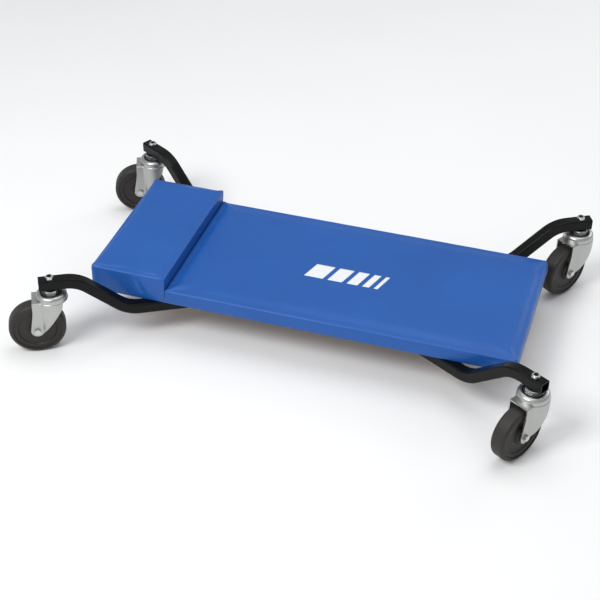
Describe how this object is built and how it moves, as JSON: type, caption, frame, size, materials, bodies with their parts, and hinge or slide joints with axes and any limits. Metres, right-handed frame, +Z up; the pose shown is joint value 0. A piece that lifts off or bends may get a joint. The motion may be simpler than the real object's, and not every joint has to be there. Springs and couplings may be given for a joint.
{
  "type": "mechanics creeper",
  "caption": "Low padded board with a raised headrest on a bent square-tube cross frame and swivel casters, for lying on under a vehicle.",
  "frame": {"origin": "middle of the parked footprint at floor level, casters turned as parked", "axes": "+X from the headrest towards the foot end, +Y towards the lying person's left, +Z up"},
  "size_m": [1.2067, 0.7168, 0.1948],
  "materials": {
    "vinyl": "satin",
    "plywood": "matte",
    "foam": "matte",
    "frame_paint": "satin",
    "zinc_sheet": "satin",
    "zinc_fasteners": "satin",
    "turned_steel": "satin",
    "bearing_steel": "polished",
    "staple_wire": "satin",
    "wheel_core": "matte",
    "wheel_tread": "matte"
  },
  "bodies": {
    "frame": {"frame_tube_through": "frame_paint", "frame_tube_half_head": "frame_paint", "frame_tube_half_foot": "frame_paint", "frame_gusset": "frame_paint", "frame_weld_beads": "frame_paint", "deck_board": "plywood", "deck_foam": "foam", "headrest_foam": "foam", "deck_cover": "vinyl", "headrest_cover": "vinyl", "cover_staples": "staple_wire", "deck_bolts": "zinc_fasteners", "deck_bolt_washers": "zinc_fasteners", "deck_spacers": "zinc_fasteners", "deck_tee_nuts": "zinc_fasteners", "caster_stems": "turned_steel", "upper_races": "turned_steel", "lower_races": "turned_steel", "king_nuts": "zinc_fasteners", "stem_nuts": "zinc_fasteners"},
    "fork_head_right": {"fork_head_right": "zinc_sheet", "swivel_balls_head_right": "bearing_steel", "axle_bolt_head_right": "zinc_fasteners", "axle_nut_head_right": "zinc_fasteners", "axle_sleeve_head_right": "turned_steel", "hub_washers_head_right": "turned_steel"},
    "wheel_head_right": {"wheel_core_head_right": "wheel_core", "wheel_tyre_head_right": "wheel_tread"},
    "fork_foot_right": {"fork_foot_right": "zinc_sheet", "swivel_balls_foot_right": "bearing_steel", "axle_bolt_foot_right": "zinc_fasteners", "axle_nut_foot_right": "zinc_fasteners", "axle_sleeve_foot_right": "turned_steel", "hub_washers_foot_right": "turned_steel"},
    "wheel_foot_right": {"wheel_core_foot_right": "wheel_core", "wheel_tyre_foot_right": "wheel_tread"},
    "fork_foot_left": {"fork_foot_left": "zinc_sheet", "swivel_balls_foot_left": "bearing_steel", "axle_bolt_foot_left": "zinc_fasteners", "axle_nut_foot_left": "zinc_fasteners", "axle_sleeve_foot_left": "turned_steel", "hub_washers_foot_left": "turned_steel"},
    "wheel_foot_left": {"wheel_core_foot_left": "wheel_core", "wheel_tyre_foot_left": "wheel_tread"},
    "fork_head_left": {"fork_head_left": "zinc_sheet", "swivel_balls_head_left": "bearing_steel", "axle_bolt_head_left": "zinc_fasteners", "axle_nut_head_left": "zinc_fasteners", "axle_sleeve_head_left": "turned_steel", "hub_washers_head_left": "turned_steel"},
    "wheel_head_left": {"wheel_core_head_left": "wheel_core", "wheel_tyre_head_left": "wheel_tread"}
  },
  "joints": [
    {"name": "swivel_head_right", "type": "hinge", "parent": "frame", "child": "fork_head_right", "pos_m": [-0.5037, -0.2641, 0.15], "axis": [0, 0, 1], "continuous": true},
    {"name": "wheel_spin_head_right", "type": "hinge", "parent": "fork_head_right", "child": "wheel_head_right", "pos_m": [-0.53858, -0.28264, 0.0635], "axis": [0.4695, -0.8829, 0], "continuous": true},
    {"name": "swivel_foot_right", "type": "hinge", "parent": "frame", "child": "fork_foot_right", "pos_m": [0.5679, -0.2641, 0.15], "axis": [0, 0, 1], "continuous": true},
    {"name": "wheel_spin_foot_right", "type": "hinge", "parent": "fork_foot_right", "child": "wheel_foot_right", "pos_m": [0.54756, -0.29796, 0.0635], "axis": [0.8572, -0.515, 0], "continuous": true},
    {"name": "swivel_foot_left", "type": "hinge", "parent": "frame", "child": "fork_foot_left", "pos_m": [0.5679, 0.3229, 0.15], "axis": [0, 0, 1], "continuous": true},
    {"name": "wheel_spin_foot_left", "type": "hinge", "parent": "fork_foot_left", "child": "wheel_foot_left", "pos_m": [0.54697, 0.2894, 0.0635], "axis": [0.848, -0.5299, 0], "continuous": true},
    {"name": "swivel_head_left", "type": "hinge", "parent": "frame", "child": "fork_head_left", "pos_m": [-0.5037, 0.3229, 0.15], "axis": [0, 0, 1], "continuous": true},
    {"name": "wheel_spin_head_left", "type": "hinge", "parent": "fork_head_left", "child": "wheel_head_left", "pos_m": [-0.54032, 0.3081, 0.0635], "axis": [0.3746, -0.9272, 0], "continuous": true}
  ]
}
